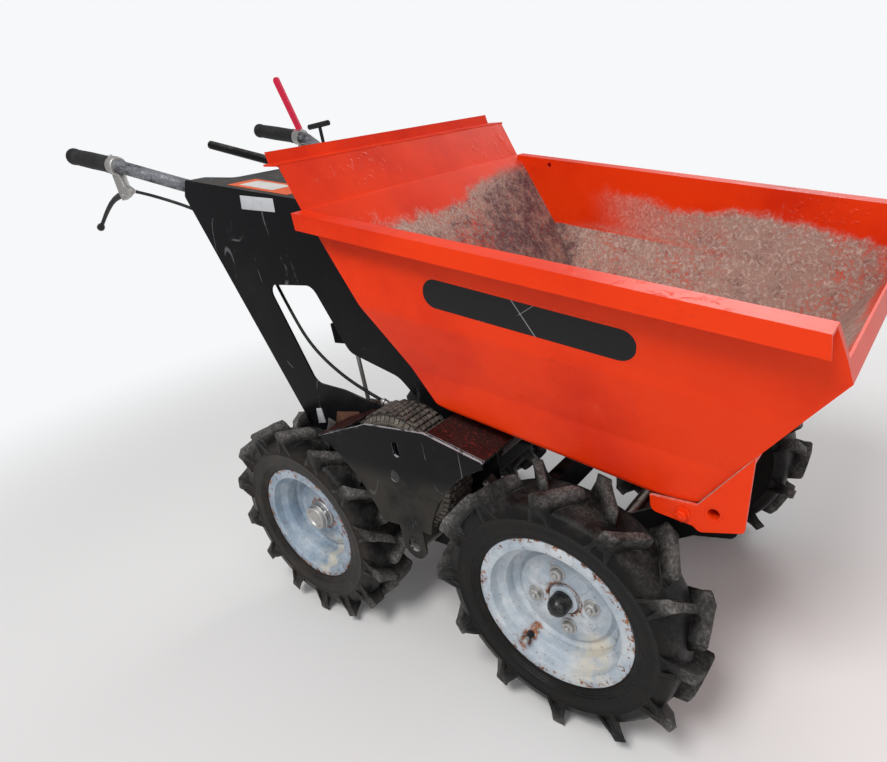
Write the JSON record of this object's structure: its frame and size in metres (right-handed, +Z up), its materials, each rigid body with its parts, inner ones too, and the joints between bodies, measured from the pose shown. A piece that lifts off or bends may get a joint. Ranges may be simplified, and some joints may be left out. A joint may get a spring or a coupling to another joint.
{
  "type": "mini dumper",
  "caption": "Walk-behind powered barrow with an open forward-tipping skip, friction drive wheels between lugged tyres and rear handles with controls.",
  "frame": {"origin": "on the ground, centred under the machine's overall box", "axes": "+X forward to the tipping end, +Y to the operator's left, +Z up"},
  "size_m": [1.4384, 0.612, 1.0373],
  "materials": {
    "bare_steel": "dull zinc-plated steel",
    "black_plastic": "matt black plastic",
    "black_rubber": "black rubber",
    "case_iron": "grey-brown cast case",
    "chassis_black": "worn satin black paint",
    "engine_alloy": "cast alloy, sand-blast texture",
    "lever_red": "red plastic-dipped steel",
    "muffler_steel": "heat-browned steel",
    "rim_white": "pale grey-white paint with rust specks",
    "shroud_paint": "black sheet cover",
    "skip_orange": "bright orange-red paint, worn inside",
    "tank_plastic": "moulded black tank",
    "tyre": "dusty black rubber"
  },
  "bodies": {
    "frame": {"chassis_rail_right": "chassis_black", "chassis_rail_left": "chassis_black", "cross_members": "chassis_black", "front_axle": "bare_steel", "rear_axle": "bare_steel", "pivot_tube": "skip_orange", "side_panel_right": "chassis_black", "side_panel_left": "chassis_black", "console_top": "chassis_black", "handle_right": "bare_steel", "handle_left": "bare_steel", "grip_right": "black_rubber", "grip_left": "black_rubber", "brake_lever": "black_plastic", "drive_lever": "lever_red", "throttle_lever": "black_plastic", "gear_lever": "chassis_black", "drive_guard_right": "chassis_black", "drive_guard_left": "chassis_black", "guard_spreader_right": "bare_steel", "guard_spreader_left": "bare_steel", "rest_bar": "chassis_black", "rest_pads": "black_rubber", "engine_deck": "chassis_black", "engine_block": "engine_alloy", "engine_shroud": "shroud_paint", "fuel_tank": "tank_plastic", "muffler": "muffler_steel", "reduction_case": "case_iron", "transaxle": "case_iron", "drive_shaft": "bare_steel", "brake_drum": "case_iron", "linkage_rod": "bare_steel", "air_filter": "black_plastic", "control_cables": "black_plastic"},
    "skip": {"skip_shell": "skip_orange", "skip_bracket_right": "skip_orange", "skip_bracket_left": "skip_orange"},
    "wheel_front_right": {"tyre_front_right": "tyre", "rim_front_right": "rim_white"},
    "wheel_front_left": {"tyre_front_left": "tyre", "rim_front_left": "rim_white"},
    "wheel_rear_right": {"tyre_rear_right": "tyre", "rim_rear_right": "rim_white"},
    "wheel_rear_left": {"tyre_rear_left": "tyre", "rim_rear_left": "rim_white"},
    "drive_wheel_right": {"drive_tyre_right": "tyre", "drive_rim_right": "rim_white"},
    "drive_wheel_left": {"drive_tyre_left": "tyre", "drive_rim_left": "rim_white"}
  },
  "joints": [
    {"name": "skip_tip", "type": "hinge", "parent": "frame", "child": "skip", "pos_m": [0.58623, 0, 0.38], "axis": [0, 1, 0], "range_deg": [0, 85]},
    {"name": "wheel_front_right_spin", "type": "hinge", "parent": "frame", "child": "wheel_front_right", "pos_m": [0.38323, -0.26, 0.2], "axis": [0, 1, 0], "continuous": true},
    {"name": "wheel_front_left_spin", "type": "hinge", "parent": "frame", "child": "wheel_front_left", "pos_m": [0.38323, 0.26, 0.2], "axis": [0, 1, 0], "continuous": true},
    {"name": "wheel_rear_right_spin", "type": "hinge", "parent": "frame", "child": "wheel_rear_right", "pos_m": [-0.14877, -0.26, 0.2], "axis": [0, 1, 0], "continuous": true},
    {"name": "wheel_rear_left_spin", "type": "hinge", "parent": "frame", "child": "wheel_rear_left", "pos_m": [-0.14877, 0.26, 0.2], "axis": [0, 1, 0], "continuous": true},
    {"name": "drive_wheel_right_spin", "type": "hinge", "parent": "frame", "child": "drive_wheel_right", "pos_m": [0.11723, -0.243, 0.35606], "axis": [0, 1, 0], "continuous": true},
    {"name": "drive_wheel_left_spin", "type": "hinge", "parent": "frame", "child": "drive_wheel_left", "pos_m": [0.11723, 0.243, 0.35606], "axis": [0, 1, 0], "continuous": true}
  ]
}
